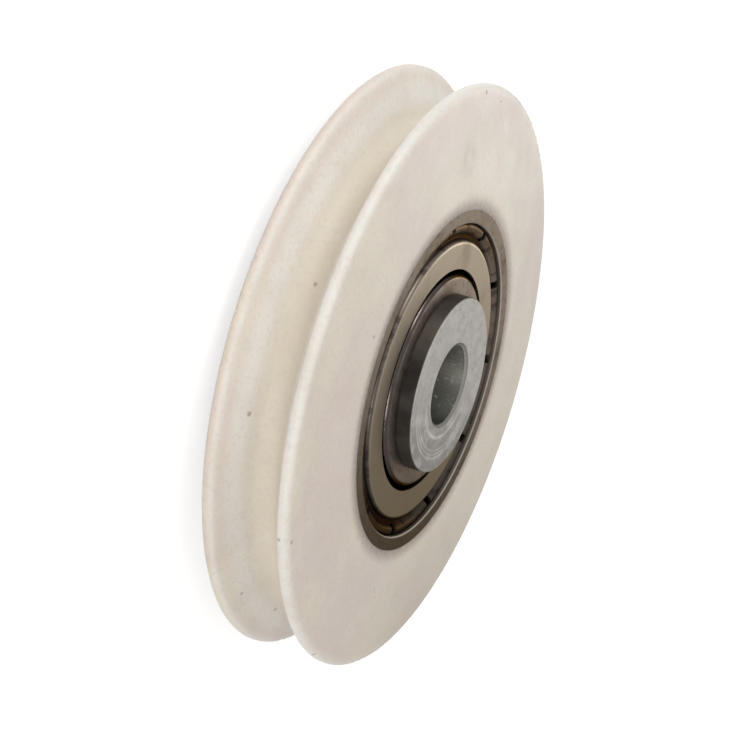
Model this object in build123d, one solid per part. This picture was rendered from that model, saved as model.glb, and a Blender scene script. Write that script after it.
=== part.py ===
"""Grooved roller: a moulded nylon wheel on a shielded ball bearing, with a collared bush in each end.

The roller's axis is Z, and its middle plane, which is also the middle of the groove and of the
bearing, is Z = 0. The front, the side with +Z, and the rear are alike. All sizes are millimetres.
"""
from build123d import *
from math import atan2, cos, pi, radians, sin, tan
import os

# Bearing rings. Ratios are to the ring section, which is the room between bore and outside, and
# the shoulder's is to the ball. The track wall is the steel left behind a ball track.
bearing_bore_d = 15.0
bearing_outer_d = 35.0
width_ratio = 1.1
track_wall_ratio = 0.2
shoulder_ratio = 0.2
ring_chamfer = 0.35
seat_edge_chamfer = 0.12
inner_ring_rounding = 0.45

# Balls, which fill the room that the two track walls leave
ball_play = 0.03
track_ease = 0.09
least_ball_spacing = 3.6

# Ball cage, two pressed ribbons riveted together. A rivet's shank is in ratio to its head.
ribbon_thickness = 0.5
ribbon_clearance = 0.45
pocket_play = 0.12
rivet_margin = 0.25
rivet_shank_ratio = 0.58
rivet_head_height = 0.45

# Shields, pressed from sheet, with a rim round the flat that has a valley and a curl. The rim's
# breadth is in ratio to the shield's, and the parts of the rim and its bends are in ratio to the
# rim's breadth. The seat wall is the steel left round a seat.
shield_thickness = 0.3
shield_bore_gap = 0.5
shield_inset = 0.25
shield_step = 0.6
curl_rise = 0.55
rim_ratio = 0.42
step_run_ratio = 0.1
curl_run_ratio = 0.23
curl_breadth_ratio = 0.26
bend_ratio = 0.155
shield_rim_gap = 0.04
seat_wall = 1.7
seat_ledge_width = 0.3
seat_relief_depth = 0.4
slot_count = 11
slot_width = 0.9
first_slot_angle = 8.4

# Bushes. The collar step is how far a collar stands out past the bearing's bore.
bolt_bore_d = 8.1
collar_step = 1.3
collar_height = 1.6
bush_chamfer = 0.25
collar_edge_chamfer = 0.12

# Wheel. The rim depth is measured from the bearing out to the rim.
rim_depth = 11.75
land_width = 1.0
rim_rounding = 0.6
groove_width = 6.9
groove_flank_angle = 25.0
groove_bottom_radius = 1.9
groove_lip_rounding = 0.6
hub_face_width = 1.2
hub_blend_radius = 6.0

# Sizes of the bearing that follow from those above
bore_radius = bearing_bore_d / 2
outer_radius = bearing_outer_d / 2
ring_section = outer_radius - bore_radius
half_width = width_ratio * ring_section / 2
track_wall = track_wall_ratio * ring_section
pitch_radius = (bore_radius + outer_radius) / 2
ball_radius = ring_section / 2 - track_wall - ball_play
track_radius = ball_radius + track_ease
shoulder_height = 2 * shoulder_ratio * ball_radius
inner_shoulder_radius = bore_radius + track_wall + shoulder_height
outer_shoulder_radius = outer_radius - track_wall - shoulder_height
ball_count = int(2 * pi * pitch_radius / (2 * ball_radius + least_ball_spacing))

# Sizes of the cage and its rivets, from the room between the shoulders and between the balls
pocket_radius = ball_radius + pocket_play
crown_radius = pocket_radius + ribbon_thickness
ribbon_inner = inner_shoulder_radius + ribbon_clearance
ribbon_outer = outer_shoulder_radius - ribbon_clearance
web_length = 2 * (pitch_radius * sin(pi / ball_count) - crown_radius)
rivet_head_radius = min(web_length, ribbon_outer - ribbon_inner) / 2 - rivet_margin
rivet_shank_radius = rivet_shank_ratio * rivet_head_radius

# Sizes of the shields and of their seats in the outer ring
seat_radius = outer_radius - seat_wall
shield_top = half_width - shield_inset
ledge_height = shield_top - shield_step - shield_thickness
shield_bore_radius = inner_shoulder_radius + shield_bore_gap
shield_rim_breadth = rim_ratio * (seat_radius - shield_bore_radius)
flat_radius = seat_radius - shield_rim_breadth


def turned(section):
    """Turn a flat section, drawn with X as the radius and Y as the height, about the Z axis."""
    return revolve(Plane.XZ * section, Axis.Z)


def corners(section, *places):
    """The corners of a section that lie nearest to the given places."""
    return [section.vertices().sort_by_distance(Vector(x, y))[0] for x, y in places]


def band(inner, outer, low, high):
    """A rectangle between two radii and two heights."""
    return make_face(Polyline((inner, low), (outer, low), (outer, high), (inner, high), close=True))


def both_ends(radius, height):
    """The same place at the front and at the rear of a section."""
    return (radius, height), (radius, -height)


def wheel():
    """The moulded wheel: a hub as wide as the bearing, shallow cone faces and a rounded V groove.

    The nylon is moulded over the chamfers of the outer ring, and that holds the ring in place. The
    rim's rounding is held to the part of the land that the rounding of the groove's lip leaves.
    """
    rim = outer_radius + rim_depth
    groove_half = groove_width / 2
    rim_half = groove_half + land_width
    hub = outer_radius + hub_face_width
    slope = tan(radians(groove_flank_angle))
    apex = rim - groove_half / slope
    overshoot = land_width
    mouth_half = groove_half + overshoot * slope
    lip, lip_foot = outer_radius - ring_chamfer, half_width - ring_chamfer
    outline = Polyline(
        (outer_radius, -lip_foot), (lip, -half_width), (hub, -half_width), (rim, -rim_half),
        (rim, rim_half), (hub, half_width), (lip, half_width), (outer_radius, lip_foot), close=True,
    )
    groove = Polyline(
        (apex, 0), (rim + overshoot, -mouth_half), (rim + overshoot, mouth_half), close=True
    )
    lip_run = groove_lip_rounding * tan(radians(90 - groove_flank_angle) / 2)
    rim_turn = pi / 2 - atan2(half_width - rim_half, rim - hub)
    widest_rounding = 0.98 * (land_width - lip_run) / tan(rim_turn / 2)
    section = make_face(outline) - make_face(groove)
    section = fillet(corners(section, (apex, 0)), groove_bottom_radius)
    section = fillet(corners(section, *both_ends(rim, groove_half)), groove_lip_rounding)
    rounding = min(rim_rounding, widest_rounding)
    section = fillet(corners(section, *both_ends(rim, rim_half)), rounding)
    section = fillet(corners(section, *both_ends(hub, half_width)), hub_blend_radius)
    return turned(section)


def outer_ring():
    """The bearing's outer ring: a ball track between two shoulders, and a shield seat at each end.

    A seat has a narrow ledge that the shield rests on, with a deeper relief outside it.
    """
    relief_floor = ledge_height - seat_relief_depth
    relief_inner = outer_shoulder_radius + seat_ledge_width
    section = band(outer_shoulder_radius, outer_radius, -half_width, half_width)
    section -= Pos(outer_radius - track_wall - track_radius, 0) * Circle(track_radius)
    for low, high in ((ledge_height, half_width), (-half_width, -ledge_height)):
        section -= band(outer_shoulder_radius, seat_radius, low, high)
    for low, high in ((relief_floor, ledge_height), (-ledge_height, -relief_floor)):
        section -= band(relief_inner, seat_radius, low, high)
    section = chamfer(corners(section, *both_ends(outer_radius, half_width)), ring_chamfer)
    section = chamfer(corners(section, *both_ends(seat_radius, half_width)), seat_edge_chamfer)
    return turned(section)


def inner_ring():
    """The bearing's inner ring: a plain bore, a ball track and rounded outer corners."""
    section = band(bore_radius, inner_shoulder_radius, -half_width, half_width)
    section -= Pos(bore_radius + track_wall + track_radius, 0) * Circle(track_radius)
    rounded = corners(section, *both_ends(inner_shoulder_radius, half_width))
    section = fillet(rounded, inner_ring_rounding)
    section = chamfer(corners(section, *both_ends(bore_radius, half_width)), ring_chamfer)
    return turned(section)


def shield():
    """The front shield: a flat, a step down to a valley, and a rim that rises and curls over.

    The valley rests on the ledge of the outer ring, and narrow slots part the rim into tabs.
    """
    middle = shield_thickness / 2
    flat_height = shield_top - middle
    valley_height = flat_height - shield_step
    curl_height = valley_height + curl_rise
    rim = seat_radius - shield_rim_gap - middle
    curl_breadth = curl_breadth_ratio * shield_rim_breadth
    crest = rim - curl_breadth
    curl_foot = crest - curl_run_ratio * shield_rim_breadth
    step_foot = flat_radius + step_run_ratio * shield_rim_breadth
    sheet_middle = FilletPolyline(
        (shield_bore_radius, flat_height), (flat_radius, flat_height), (step_foot, valley_height),
        (curl_foot, valley_height), (crest, curl_height), (rim, curl_height),
        (rim, curl_height - curl_breadth), radius=bend_ratio * shield_rim_breadth,
    )
    section = trace(sheet_middle, shield_thickness)
    slot_length = rim + shield_thickness - curl_foot
    slot_height = 2 * (shield_step + curl_rise)
    slot = Pos(curl_foot + slot_length / 2, 0, curl_height) * Box(slot_length, slot_width, slot_height)
    slots = [Rot(0, 0, first_slot_angle + turn * 360 / slot_count) * slot for turn in range(slot_count)]
    return turned(section) - slots


def on_pitch_circle(piece, index, offset=0.0):
    """A piece moved out to one ball's place, or by a share of the spacing towards the next ball's."""
    angle = 2 * pi * (index + offset) / ball_count
    return Pos(pitch_radius * cos(angle), pitch_radius * sin(angle), 0) * piece


def cage_half():
    """The front half of the cage: a flat ribbon ring, pressed out over each ball as a round pocket."""
    stock = turned(band(ribbon_inner, ribbon_outer, 0, 2 * crown_radius))
    rivet_hole = Cylinder(rivet_shank_radius, 4 * ribbon_thickness)
    ribbon = turned(band(ribbon_inner, ribbon_outer, 0, ribbon_thickness))
    ribbon += [stock & on_pitch_circle(Sphere(crown_radius), index) for index in range(ball_count)]
    ribbon -= [on_pitch_circle(Sphere(pocket_radius), index) for index in range(ball_count)]
    ribbon -= [on_pitch_circle(rivet_hole, index, 0.5) for index in range(ball_count)]
    return ribbon


def cage_rivet():
    """A rivet through both ribbons, with a domed head on each side."""
    height, radius = rivet_head_height, rivet_head_radius
    dome_radius = (radius ** 2 + height ** 2) / (2 * height)
    top = ribbon_thickness + height
    slab = Pos(0, 0, ribbon_thickness + height / 2) * Cylinder(2 * radius, height)
    head = slab & (Pos(0, 0, top - dome_radius) * Sphere(dome_radius))
    return Cylinder(rivet_shank_radius, 2 * ribbon_thickness) + head + mirror(head, Plane.XY)


def bush():
    """The front bush: a spigot that fills half the bearing's bore, and a collar on its inner ring."""
    bolt, collar = bolt_bore_d / 2, bore_radius + collar_step
    face = half_width + collar_height
    section = band(bolt, bore_radius, 0, face) + band(bolt, collar, half_width, face)
    section = chamfer(corners(section, (bolt, face), (bore_radius, 0)), bush_chamfer)
    section = chamfer(corners(section, (collar, face), (collar, half_width)), collar_edge_chamfer)
    return turned(section)


def model():
    """Every piece of the roller in its place, by name."""
    front_shield, front_bush, cage_front = shield(), bush(), cage_half()
    ball, rivet = Sphere(ball_radius), cage_rivet()
    pieces = {
        "wheel": wheel(),
        "outer_ring": outer_ring(),
        "inner_ring": inner_ring(),
        "front_shield": front_shield,
        "rear_shield": mirror(front_shield, Plane.XY),
        "front_bush": front_bush,
        "rear_bush": mirror(front_bush, Plane.XY),
        "cage_front": cage_front,
        "cage_rear": mirror(cage_front, Plane.XY),
    }
    for index in range(ball_count):
        pieces[f"ball_{index + 1}"] = on_pitch_circle(ball, index)
        pieces[f"cage_rivet_{index + 1}"] = on_pitch_circle(rivet, index, 0.5)
    return pieces


os.makedirs("parts", exist_ok=True)
for name, piece in model().items():
    export_step(piece, f"parts/{name}.step")
    print(name, "volume", round(piece.volume, 2), "solids", len(piece.solids()))
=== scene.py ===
# %% [markdown]
# This lesson dresses a small grooved roller for its portrait. The roller is a moulded nylon wheel
# on a shielded ball bearing, with a collared steel bush in each end for a bolt. Its solid pieces
# come ready made, at their real size, so the work here is in the finishes, the light and the view.
# The first cell loads those pieces, with two small tools that measure the boxes they fill.

import bpy
from mathutils import Matrix, Vector


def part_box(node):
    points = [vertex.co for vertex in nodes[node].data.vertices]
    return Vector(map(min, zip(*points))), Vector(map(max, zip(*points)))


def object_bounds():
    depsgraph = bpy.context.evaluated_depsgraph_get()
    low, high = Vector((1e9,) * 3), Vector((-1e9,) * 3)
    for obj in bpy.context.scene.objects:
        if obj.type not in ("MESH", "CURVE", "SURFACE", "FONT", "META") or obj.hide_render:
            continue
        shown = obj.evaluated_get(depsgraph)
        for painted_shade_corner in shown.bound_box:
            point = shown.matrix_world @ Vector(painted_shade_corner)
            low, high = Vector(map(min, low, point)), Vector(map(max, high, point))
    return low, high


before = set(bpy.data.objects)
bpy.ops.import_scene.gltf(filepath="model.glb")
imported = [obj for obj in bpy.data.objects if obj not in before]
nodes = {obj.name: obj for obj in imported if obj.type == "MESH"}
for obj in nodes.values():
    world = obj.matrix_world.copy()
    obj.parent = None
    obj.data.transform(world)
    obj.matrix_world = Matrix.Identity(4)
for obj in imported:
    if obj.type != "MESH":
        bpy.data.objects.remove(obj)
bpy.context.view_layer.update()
MM = 0.001

print("pieces:", len(nodes))

# %% [markdown]
# The finishes below need a few main sizes, and these are read from the boxes of the pieces. Only
# small things, such as the widths of edges and the places of dirt, are given in millimetres.

# %% Measure the pieces
def outer_radius(name):
    """Half of a round piece's width."""
    low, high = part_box(name)
    return (high.x - low.x) / 2


def top_of(name):
    """The height of a piece's front face."""
    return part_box(name)[1].z


wheel_radius = outer_radius("wheel")
hub_top = top_of("wheel")
ring_radius = outer_radius("outer_ring")
inner_ring_radius = outer_radius("inner_ring")
shield_radius = outer_radius("front_shield")
shield_top = top_of("front_shield")
collar_radius = outer_radius("front_bush")
floor_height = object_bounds()[0].z

radii = {"wheel": wheel_radius, "outer ring": ring_radius, "collar": collar_radius}
print("radii in mm:", {name: round(radius / MM, 2) for name, radius in radii.items()})

# %% [markdown]
# A finish is a web of nodes, and sums made of Math nodes are hard to read. So one small class
# wraps a socket and turns Python's own operators into Math nodes: `1 - mask` then reads as it
# should.

# %% Write shader sums as Python
class Amount:
    """A number that changes over a surface. Sums on it add Math nodes to its web."""

    def __init__(self, web, socket):
        self.web, self.socket = web, socket

    def sum(self, operation, *terms):
        node = self.web.node("ShaderNodeMath", {"operation": operation}, dict(enumerate(terms)))
        return Amount(self.web, node.outputs[0])

    def __add__(self, other):
        return self.sum("ADD", self, other)

    def __sub__(self, other):
        return self.sum("SUBTRACT", self, other)

    def __rsub__(self, other):
        return self.sum("SUBTRACT", other, self)

    def __mul__(self, other):
        return self.sum("MULTIPLY", self, other)

    def __pow__(self, other):
        return self.sum("POWER", self, other)

    __radd__, __rmul__ = __add__, __mul__

    def size(self):
        """The amount without its sign."""
        return self.sum("ABSOLUTE", self)

    def ramp(self, start, end):
        """0 before start and 1 after end, with a soft change between. Start may be the larger."""
        settings = {"interpolation_type": "SMOOTHSTEP"}
        low, high = sorted((start, end))
        node = self.web.node("ShaderNodeMapRange", settings, {0: self, 1: low, 2: high})
        rising = Amount(self.web, node.outputs[0])
        return rising if start < end else 1 - rising


print("sums are ready")

# %% [markdown]
# Every other kind of node is made by one method. It takes the node's type, then its settings, and
# then what goes into its sockets. Materials, the floor and the world all use it, so it belongs to
# a small class for any web of nodes.

# %% Make any node with one method
class Web:
    """The nodes of one material or of the world."""

    def __init__(self, tree):
        self.tree = tree

    def node(self, kind, settings=None, sockets=None):
        """A node of any kind, with its settings made first and then its sockets filled."""
        made = self.tree.nodes.new(kind)
        for name, value in (settings or {}).items():
            setattr(made, name, value)
        for key, value in (sockets or {}).items():
            self.fill(made.inputs[key], value)
        return made

    def fill(self, socket, value):
        """Put a number, a colour, an amount or another node's output into a socket."""
        if isinstance(value, Amount):
            value = value.socket
        if isinstance(value, bpy.types.NodeSocket):
            self.tree.links.new(value, socket)
        elif isinstance(value, tuple) and socket.type == "RGBA":
            socket.default_value = (*value, 1.0)
        else:
            socket.default_value = value


print("any node can be made")

# %% [markdown]
# A finish starts from the standard shader. What is the same all over a piece is set straight on
# the shader, and what changes is worked out from the place on the piece, in metres. The radius,
# the distance from the roller's axis, is the most useful of these, because every piece is turned.

# %% Describe one finish
class Finish(Web):
    """One material, with its shader and the places on the piece that its pattern reads."""

    def __init__(self, name, **shader):
        self.material = bpy.data.materials.new(name)
        self.material.use_nodes = True
        super().__init__(self.material.node_tree)
        self.shader = self.tree.nodes["Principled BSDF"]
        for socket, value in shader.items():
            self.fill(self.shader.inputs[socket.replace("_", " ")], value)
        self.place = self.node("ShaderNodeTexCoord").outputs["Object"]
        along = self.node("ShaderNodeSeparateXYZ", {}, {0: self.place})
        self.x, self.y, self.z = (Amount(self, out) for out in along.outputs)
        self.radius = (self.x * self.x + self.y * self.y) ** 0.5

    def grain(self, per_metre, detail=2.0, at=None):
        """Soft random spots, so many to the metre, from 0 to 1."""
        sockets = {"Vector": at or self.place, "Scale": per_metre, "Detail": detail}
        return Amount(self, self.node("ShaderNodeTexNoise", {}, sockets).outputs[0])

    def point(self, x=0.0, y=0.0, z=0.0):
        """A place put together from three amounts."""
        return self.node("ShaderNodeCombineXYZ", {}, {0: x, 1: y, 2: z}).outputs[0]

    def turning_lines(self, per_metre):
        """Fine rings round the axis, from noise along the radius and the height alone."""
        return self.grain(per_metre, 2.0, self.point(self.radius, 0.0, self.z))

    def spot(self, place_in_mm, width_in_mm):
        """1 at a place on the piece, falling to 0 at half the width from it."""
        place = tuple(x * MM for x in place_in_mm)
        sockets = {0: self.place, 1: place}
        away = self.node("ShaderNodeVectorMath", {"operation": "DISTANCE"}, sockets)
        half = width_in_mm * MM / 2
        return Amount(self, away.outputs["Value"]).ramp(half, half * 0.4)

    def blend(self, under, over, amount):
        """One colour over another, by an amount from 0 to 1."""
        sockets = {"Factor": amount, 6: under, 7: over}
        return self.node("ShaderNodeMix", {"data_type": "RGBA"}, sockets).outputs[2]

    def relief(self, height, depth):
        """Bumps of that depth in metres, from a height between 0 and 1."""
        sockets = {"Height": height, "Distance": depth, "Strength": 1.0}
        self.use("Normal", self.node("ShaderNodeBump", {}, sockets).outputs[0])

    def use(self, socket, value):
        """Let an amount or a colour drive one socket of the shader."""
        self.fill(self.shader.inputs[socket], value)

    def put_on(self, *names):
        """Give the finish to these pieces."""
        for name in names:
            slots = nodes[name].data.materials
            slots.clear()
            slots.append(self.material)


print("finishes are ready")

# %% [markdown]
# The wheel is moulded nylon of an ivory white. Light enters nylon a little before it comes back,
# so its edges glow and its corners stay soft, which the shader's subsurface part gives. The colour
# isn't even: there are faint clouds and a fine freckle, a painted shade that makes it darker and
# yellower low in the groove, a painted light that makes the front of the rim and the groove whiter,
# and a brown, grainy fringe where the nylon meets the bearing.

# %% Moulded nylon
nylon = Finish(
    "nylon",
    Specular_IOR_Level=0.3,
    Subsurface_Weight=0.5,
    Subsurface_Radius=(1.0, 0.75, 0.55),
    Subsurface_Scale=1.6 * MM,
)
cloud = nylon.grain(70, 3.0)
mottle = nylon.grain(260, 3.0)
freckle = nylon.grain(2400, 2.0)
on_face = nylon.radius.ramp(wheel_radius, wheel_radius - 1.2 * MM)
groove_half_width = 3.2 * MM
in_groove = nylon.z.size().ramp(groove_half_width, groove_half_width - 0.8 * MM)
painted_groove_shade = nylon.radius.ramp(wheel_radius - 2.6 * MM, wheel_radius - 4.7 * MM) * in_groove
by_bearing = nylon.radius.ramp(ring_radius + 1.3 * MM, ring_radius - 0.4 * MM)

colour = nylon.blend((0.72, 0.64, 0.58), (0.75, 0.695, 0.59), cloud.ramp(0.42, 0.58))
off_rear_lip = nylon.z.ramp(-4.0 * MM, -groove_half_width)
# Painted light: the front of the rim and the groove, all but the rear lip, are made whiter.
painted_rim_light = (1 - on_face * (1 - in_groove)) * off_rear_lip
colour = nylon.blend(colour, (0.77, 0.745, 0.70), painted_rim_light)
# Painted shade: low in the groove the nylon is made darker and yellower.
colour = nylon.blend(colour, (0.67, 0.59, 0.46), painted_groove_shade * 0.7)
colour = nylon.blend(colour, (0.64, 0.56, 0.48), mottle.ramp(0.5, 0.7) * 0.22)
colour = nylon.blend(colour, (0.80, 0.75, 0.70), mottle.ramp(0.46, 0.3) * 0.25)
colour = nylon.blend(colour, (0.56, 0.49, 0.43), freckle.ramp(0.5, 0.7) * 0.22)
colour = nylon.blend(colour, (0.25, 0.17, 0.14), by_bearing * (0.5 + 0.55 * freckle))

print("nylon is", round((wheel_radius - ring_radius) / MM, 2), "mm deep")

# %% [markdown]
# A used wheel has a few specks of dirt pressed into it. Each is a small brown spot at its own
# place on the face, the rim or the groove, in millimetres, with its width last. The last four lie
# in a row and make a short scratch. A wide, faint painted shade darkens the foot of the wheel on
# one side, and there is one larger smudge of dirt near the top of the face.

# %% Specks, painted shade and smudge on the nylon
specks = [
    ((-3.5, 28.3, 4.5), 0.7),
    ((1.0, 27.8, 4.6), 0.4),
    ((-23.2, 7.7, 0.3), 0.6),
    ((-18.9, 4.2, 5.4), 0.5),
    ((-25.5, -5.1, -1.9), 0.7),
    ((-24.8, -15.4, 3.6), 0.5),
    ((-23.9, -15.4, 4.5), 0.6),
    ((-7.2, -24.9, -1.9), 0.6),
    ((-14.9, -23.0, -2.6), 0.5),
    ((-10.2, -27.3, 4.2), 0.6),
    ((-1.2, -21.0, 5.3), 0.3),
    ((-0.9, -21.3, 5.3), 0.35),
    ((-0.6, -21.6, 5.3), 0.35),
    ((-0.3, -22.0, 5.2), 0.3),
]
dirt = sum(nylon.spot(place, width) for place, width in specks)
colour = nylon.blend(colour, (0.26, 0.16, 0.11), dirt * 0.55)
# Painted shade: the foot of the wheel is made darker on one side.
painted_foot_shade = nylon.y.ramp(-6 * MM, -30 * MM) * nylon.x.ramp(-8 * MM, 22 * MM)
colour = nylon.blend(colour, (0.55, 0.475, 0.405), painted_foot_shade * 0.75)
smudge = nylon.spot((-5.0, 21.7, 5.1), 5.0) * mottle.ramp(0.35, 0.6)
colour = nylon.blend(colour, (0.50, 0.44, 0.37), smudge * 0.35)
nylon.use("Base Color", colour)
nylon.use("Roughness", 0.42 + 0.16 * mottle)
nylon.relief(freckle * 0.3 + mottle * 0.7, 0.02 * MM)
nylon.put_on("wheel")

print("specks on the nylon:", len(specks))

# %% [markdown]
# The bearing's rings are ground steel that has turned brownish, and they are painted darker towards
# the foot as shade. The grinding has left fine rings round the axis: noise that is read along the
# radius and the height alone makes them. The inner ring is paler, and its polished outer corner is
# painted dark, as the shade and dark reflection of the gap beside it. The outer ring has a painted
# highlight, a lighter line along the edge of the shield's seat.

# %% Ground bearing steel
steel = Finish("ring_steel", Metallic=1.0, Specular_Tint=(0.35, 0.32, 0.28))
lines = steel.turning_lines(2500)
tarnish = steel.grain(200, 3.0).ramp(0.45, 0.7)
pits = steel.grain(1500, 3.0).ramp(0.52, 0.7)
painted_light_by_height = steel.y.ramp(-19 * MM, 8 * MM)
inner = steel.radius.ramp(inner_ring_radius + 0.3 * MM, inner_ring_radius + 0.1 * MM)
# Painted shade: the rings are made darker towards the foot and lighter towards the top.
colour = steel.blend((0.10, 0.083, 0.07), (0.25, 0.215, 0.182), painted_light_by_height)
colour = steel.blend(colour, (0.33, 0.28, 0.24), inner * painted_light_by_height * 0.8)
colour = steel.blend(colour, (0.085, 0.07, 0.062), tarnish * 0.35)
colour = steel.blend(colour, (0.05, 0.04, 0.034), pits * 0.35)
painted_shade_corner = steel.radius.ramp(inner_ring_radius - 0.5 * MM, inner_ring_radius - 0.2 * MM) * inner
# Painted shade and reflection: the inner ring's outer corner is made near black.
colour = steel.blend(colour, (0.042, 0.033, 0.031), painted_shade_corner * 0.88)
seat_edge = (steel.radius - shield_radius).size().ramp(0.2 * MM, 0.08 * MM)
painted_edge_highlight = seat_edge * steel.z.size().ramp(hub_top - 0.5 * MM, hub_top - 0.3 * MM)
# Painted highlight: a lighter line along the ring's edge at the shield's seat.
colour = steel.blend(colour, (0.36, 0.32, 0.28), painted_edge_highlight * 0.8)
steel.use("Base Color", colour)
steel.use("Roughness", 0.34 + 0.16 * lines - 0.22 * painted_shade_corner)
steel.relief(lines, 0.004 * MM)
steel.put_on("outer_ring", "inner_ring")

print("rings:", round(ring_radius / MM, 2), "and", round(inner_ring_radius / MM, 2), "mm in radius")

# %% [markdown]
# A shield is pressed from thin sheet. Its flat is smooth and faintly yellow, and painted darker
# towards the foot as shade. Beyond the flat it drops into a valley, and the tabs that rise from
# there are brown and blotched with old grease. Valley and tabs are made dark, partly for the grease
# and partly as painted shade in the recess, and the deepest parts are painted near black as shade.

# %% Pressed shields
shield = Finish("shield_steel", Metallic=1.0, Specular_Tint=(0.4, 0.36, 0.3))
stain = shield.grain(250, 3.0)
flat_edge = shield_radius - 1.9 * MM
in_valley = shield.radius.ramp(flat_edge - 0.1 * MM, flat_edge + 0.15 * MM)
deep = shield.z.size().ramp(shield_top - 0.25 * MM, shield_top - 0.7 * MM)
painted_light_by_height = shield.y.ramp(-14 * MM, 13 * MM)
# Painted shade: the shield is made darker towards the foot.
colour = shield.blend((0.185, 0.155, 0.122), (0.385, 0.335, 0.272), painted_light_by_height)
colour = shield.blend(colour, (0.15, 0.125, 0.10), stain.ramp(0.45, 0.75) * 0.4)
# Partly old grease, partly painted shade: valley and tabs are made near black, less so at the top.
grease_and_painted_shade = shield.blend((0.032, 0.028, 0.026), (0.105, 0.082, 0.068), painted_light_by_height)
colour = shield.blend(colour, grease_and_painted_shade, in_valley * 0.9)
# Painted shade: the deepest parts of the shield are made near black.
colour = shield.blend(colour, (0.02, 0.017, 0.016), deep * 0.85)
blots = shield.grain(800, 3.0).ramp(0.5, 0.66) * in_valley
colour = shield.blend(colour, (0.022, 0.018, 0.016), blots * 0.6)
shield.use("Base Color", colour)
shield.use("Roughness", 0.32 + 0.14 * stain)
shield.put_on("front_shield", "rear_shield")

print("shield flat reaches", round(flat_edge / MM, 2), "mm")

# %% [markdown]
# The bushes are turned steel with a pale zinc coat. The tool has left rings on the collar's face,
# which show only in its lower half and come and go, because the coat has filled some of them. Each
# mark is a soft ring: its radius and width in millimetres, and how much of it shows.

# %% Turned and plated bushes
bush = Finish("bush_steel", Metallic=1.0, Specular_Tint=(0.5, 0.5, 0.48))
marks = ((5.3, 0.3, 1.0), (6.6, 0.22, 0.7), (7.0, 0.18, 0.7), (7.4, 0.22, 0.8))
tool_marks = sum(
    (bush.radius - radius * MM).size().ramp(width * MM, 0) * share for radius, width, share in marks
)
kept_marks = bush.y.ramp(-1.0 * MM, -4.0 * MM) * (0.55 + 0.45 * bush.grain(300).ramp(0.4, 0.6))
painted_light_by_height = bush.y.ramp(-7 * MM, 1 * MM)
fine_lines = bush.turning_lines(1800)
coat = bush.grain(700, 4.0)
dirt = bush.grain(2600).ramp(0.5, 0.75)
# Painted shade: the bush is made darker towards the foot.
colour = bush.blend((0.27, 0.257, 0.24), (0.40, 0.38, 0.355), painted_light_by_height)
colour = bush.blend(colour, (0.47, 0.45, 0.425), coat.ramp(0.45, 0.65) * 0.55)
colour = bush.blend(colour, (0.22, 0.20, 0.185), dirt * 0.4)
colour = bush.blend(colour, (0.66, 0.64, 0.61), tool_marks * kept_marks * 0.6)

print("tool marks:", len(marks))

# %% [markdown]
# The collar's side is painted dark, as the shade and dark reflections that it shows, and a little
# lighter at its top and foot and in patches. The bore is a grey green, painted darker below as
# shade, with small painted glints. Its edge is dull.

# %% Collar side and bore
bolt_radius = 4.05 * MM
on_side = bush.radius.ramp(collar_radius - 0.1 * MM, collar_radius - 0.02 * MM)
lighter_ends_and_patches = (bush.y + 1 * MM).size().ramp(1.5 * MM, 7 * MM) + 0.3 * bush.grain(260).ramp(0.45, 0.6)
# Painted shade and reflection: the collar's side is made dark, lighter at its top and foot.
painted_dark_side = bush.blend((0.03, 0.026, 0.025), (0.105, 0.095, 0.085), lighter_ends_and_patches)
colour = bush.blend(colour, painted_dark_side, on_side * 0.95)
in_bore = bush.radius.ramp(bolt_radius + 0.2 * MM, bolt_radius + 0.05 * MM)
# Painted shade: the grey green bore is made darker below.
bore_tone_and_painted_shade = bush.blend((0.13, 0.135, 0.135), (0.66, 0.66, 0.55), bush.y.ramp(-4.2 * MM, 1.8 * MM))
colour = bush.blend(colour, bore_tone_and_painted_shade, in_bore * 0.85)
# Painted glints: small bright flecks in the upper part of the bore.
painted_glints = bush.grain(2100, 3.0).ramp(0.58, 0.7) * bush.y.ramp(-3.2 * MM, -1.5 * MM)
colour = bush.blend(colour, (0.85, 0.85, 0.78), in_bore * painted_glints)
bore_edge = (bush.radius - (bolt_radius + 0.13 * MM)).size().ramp(0.16 * MM, 0.1 * MM)
colour = bush.blend(colour, (0.17, 0.165, 0.155), bore_edge * 0.85)
bush.use("Base Color", colour)
bush.use("Roughness", 0.38 + 0.14 * coat)
bush.relief(tool_marks * kept_marks * 0.4 + fine_lines * 0.3, 0.01 * MM)
bush.put_on("front_bush", "rear_bush")

print("collar radius", round(collar_radius / MM, 2), "mm")

# %% [markdown]
# The ball cage and the balls are sealed in, and show only as glints in the gap inside a shield.

# %% Cage and balls
cage = Finish("cage_steel", Metallic=1.0)
colour = cage.blend((0.16, 0.145, 0.125), (0.24, 0.215, 0.185), cage.grain(600).ramp(0.3, 0.7))
cage.use("Base Color", colour)
cage.use("Roughness", 0.35 + 0.15 * cage.grain(900))
cage.put_on(*[name for name in nodes if name.startswith("cage")])

ball = Finish("ball_steel", Metallic=1.0)
colour = ball.blend((0.22, 0.21, 0.20), (0.34, 0.33, 0.32), ball.grain(300).ramp(0.3, 0.7))
ball.use("Base Color", colour)
ball.use("Roughness", 0.1 + 0.1 * ball.grain(500))
balls = [name for name in nodes if name.startswith("ball")]
ball.put_on(*balls)

print("balls:", len(balls))

# %% [markdown]
# The picture looks steeply along the wheel's face, with the roller's axis pointing to the right,
# a little down and a little towards the viewer. The axis and the distance fix the camera.

# %% Camera
axis_in_view = Vector((0.8982, -0.2656, 0.3501)).normalized()
middle_in_view = Vector((0.853, 0.872, -310.452)) * MM
x_in_view = Vector((0, 1, 0)).cross(axis_in_view).normalized()
y_in_view = axis_in_view.cross(x_in_view)
turn = Matrix((x_in_view, y_in_view, axis_in_view))

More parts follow.
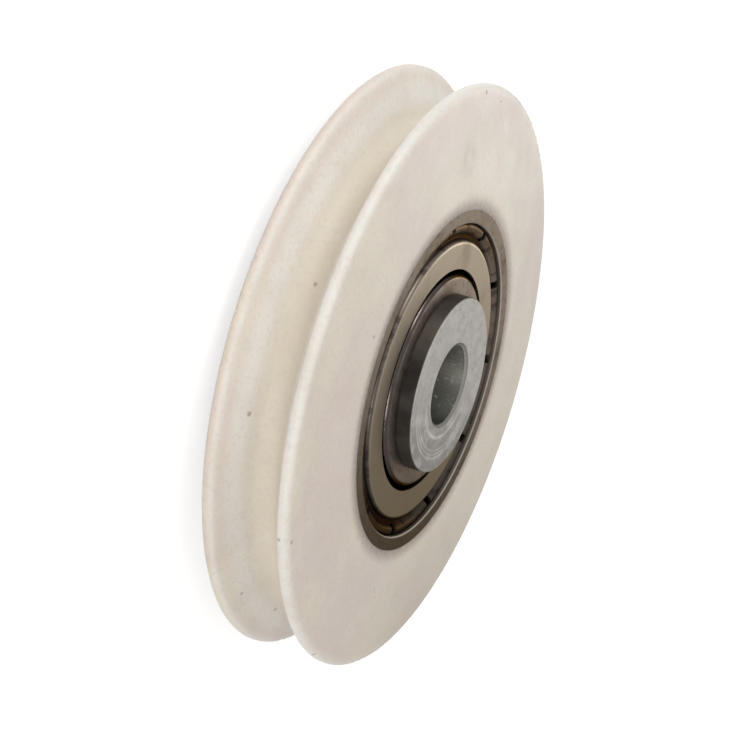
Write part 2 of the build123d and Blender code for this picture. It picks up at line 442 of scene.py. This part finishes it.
picture_width = 750
focal_length_in_pixels = 3176.0
lens = bpy.data.cameras.new("camera")
lens.sensor_width = 36.0
lens.lens = focal_length_in_pixels * lens.sensor_width / picture_width
lens.clip_start, lens.clip_end = 0.01, 20.0
camera = bpy.data.objects.new("camera", lens)
camera.matrix_world = Matrix.Translation(-(turn @ middle_in_view)) @ turn.to_4x4()
bpy.context.scene.collection.objects.link(camera)
bpy.context.scene.camera = camera

print("camera at", [round(x / MM, 1) for x in camera.matrix_world.translation], "mm")

# %% [markdown]
# The studio is white to the eye and to shiny metal, but lights the roller gently. So both the
# world and the floor ask what kind of ray has met them: rays from the camera, and rays that a
# piece reflects or lets through, see more white than the rays that carry light do.

# %% Ask what sees a surface
def seen_directly(web):
    """1 for rays from the camera, and for those that reflect in or pass through a piece."""
    path = web.node("ShaderNodeLightPath")
    kinds = ("Is Camera Ray", "Is Glossy Ray", "Is Transmission Ray")
    return sum(Amount(web, path.outputs[kind]) for kind in kinds)


world = bpy.data.worlds.new("studio")
bpy.context.scene.world = world
world.use_nodes = True
world.node_tree.nodes.clear()
sky = Web(world.node_tree)
ambient, warm_white = 0.47, (1.0, 0.95, 0.90)
gentle = sky.node("ShaderNodeBackground", {}, {0: warm_white, 1: ambient})
white = sky.node("ShaderNodeBackground", {}, {0: (1.0, 1.0, 1.0), 1: 1.0})
sockets = {0: seen_directly(sky), 1: gentle.outputs[0], 2: white.outputs[0]}
mix = sky.node("ShaderNodeMixShader", {}, sockets)
sky.node("ShaderNodeOutputWorld", {}, {0: mix.outputs[0]})

print("the room lights at", ambient, "of white")

# %% [markdown]
# The floor is one large sheet of matt white paper under the rear collar. Glow is added to it for
# the eye alone, so the paper reaches full white, and only the roller's soft shadow stays below it.
# The glow is a little blue, because the light of the room is a little warm.

# %% White floor
reach = 2.0
corners = [(x * reach, y * reach, floor_height) for x, y in ((-1, -1), (1, -1), (1, 1), (-1, 1))]
floor_mesh = bpy.data.meshes.new("floor")
floor_mesh.from_pydata(corners, [], [(0, 1, 2, 3)])
floor = bpy.data.objects.new("floor", floor_mesh)
bpy.context.scene.collection.objects.link(floor)

paper = bpy.data.materials.new("white_paper")
paper.use_nodes = True
paper.node_tree.nodes.clear()
sheet = Web(paper.node_tree)
matt = sheet.node("ShaderNodeBsdfDiffuse", {}, {0: (0.85, 0.85, 0.85)})
paper_glow, cool_white = 0.59, (0.96, 0.98, 1.0)
glow = sheet.node("ShaderNodeEmission", {}, {0: cool_white, 1: paper_glow})
both = sheet.node("ShaderNodeAddShader", {}, {0: matt.outputs[0], 1: glow.outputs[0]})
sockets = {0: seen_directly(sheet), 1: matt.outputs[0], 2: both.outputs[0]}
mix = sheet.node("ShaderNodeMixShader", {}, sockets)
sheet.node("ShaderNodeOutputMaterial", {}, {0: mix.outputs[0]})
floor_mesh.materials.append(paper)

print("floor at", round(floor_height / MM, 2), "mm")

# %% [markdown]
# Three soft lamps give the roller its form. A broad one low on the left fills the groove, one above
# brings out the upper rim, and a small near one makes the top of the face lighter than its foot. A
# fourth stands behind, just where the face would mirror it. It gives no matt light, so it only adds
# shine to the top of the metal.

# %% Lamps
def lamp(name, place_in_mm, width, power):
    """A square soft lamp, turned to face the roller's middle, that the camera doesn't see."""
    light = bpy.data.lights.new(name, "AREA")
    light.size, light.energy, light.color = width, power, cool_white
    made = bpy.data.objects.new(name, light)
    place = Vector(place_in_mm) * MM
    made.location = place
    made.rotation_mode = "QUATERNION"
    made.rotation_quaternion = (-place).to_track_quat("-Z", "Y")
    made.visible_camera = False
    bpy.context.scene.collection.objects.link(made)
    return made


lamp("low_left", (-290, -170, 110), 0.15, 0.49)
lamp("above", (-130, 300, 140), 0.12, 0.36)
lamp("near_top", (-50, 130, 70), 0.08, 0.035)
lamp("behind", (250, 60, 110), 0.08, 0.11).visible_diffuse = False

print("lamps:", len(bpy.data.lights))

# %% [markdown]
# Last come the colour settings.

# %% Finish
bpy.context.scene.view_settings.view_transform = "Standard"
